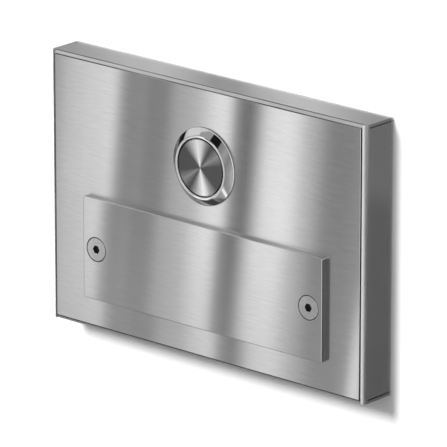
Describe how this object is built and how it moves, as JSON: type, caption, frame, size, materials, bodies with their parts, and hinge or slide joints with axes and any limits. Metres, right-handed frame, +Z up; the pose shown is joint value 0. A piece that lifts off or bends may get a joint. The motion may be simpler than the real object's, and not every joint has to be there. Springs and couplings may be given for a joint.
{
  "type": "door intercom panel",
  "caption": "Flat steel wall panel with a round spring-return push button above a screwed-on blank name plate.",
  "frame": {"origin": "middle of the flat back of the housing, on the wall plane", "axes": "+Y into the wall, along the outward normal of the back; +X to the right as the panel is read; +Z up"},
  "size_m": [0.131, 0.0153, 0.09],
  "materials": {
    "steel": "stainless sheet with a fine brushed grain along X",
    "polished": "polished turned stainless steel",
    "spun": "stainless steel with a circular spun grain",
    "zinc": "zinc plated steel",
    "spring_steel": "drawn spring steel",
    "brass": "stamped brass",
    "rubber": "matt black rubber",
    "black_plastic": "moulded black plastic",
    "pale_plastic": "moulded off-white plastic"
  },
  "bodies": {
    "panel": {"left_side_wall": "steel", "right_side_wall": "steel", "top_wall": "steel", "bottom_wall": "steel", "front_plate": "steel", "plate_gasket": "rubber", "support_frame": "zinc", "back_plate": "zinc", "cable_grommet": "rubber", "name_plate": "steel", "name_plate_screw_left": "polished", "name_plate_screw_right": "polished", "threaded_post_left": "zinc", "threaded_post_right": "zinc", "button_housing": "polished", "flange_seal": "rubber", "lock_washer": "zinc", "fixing_nut": "zinc", "contact_block": "black_plastic", "contact_cover": "black_plastic", "terminal_left": "brass", "terminal_right": "brass", "terminal_screw_left": "zinc", "terminal_screw_right": "zinc", "terminal_clamp_left": "brass", "terminal_clamp_right": "brass", "return_spring": "spring_steel"},
    "button": {"button_cap": "spun", "cap_seal": "rubber", "plunger": "pale_plastic", "retaining_clip": "spring_steel", "contact_bridge": "brass"}
  },
  "joints": [
    {"name": "button_press", "type": "slide", "parent": "panel", "child": "button", "axis": [0, 1, 0], "range_m": [0, 0.0012], "stiffness_N_per_m": 400, "springref_m": -0.001, "deforming": ["return_spring"]}
  ]
}
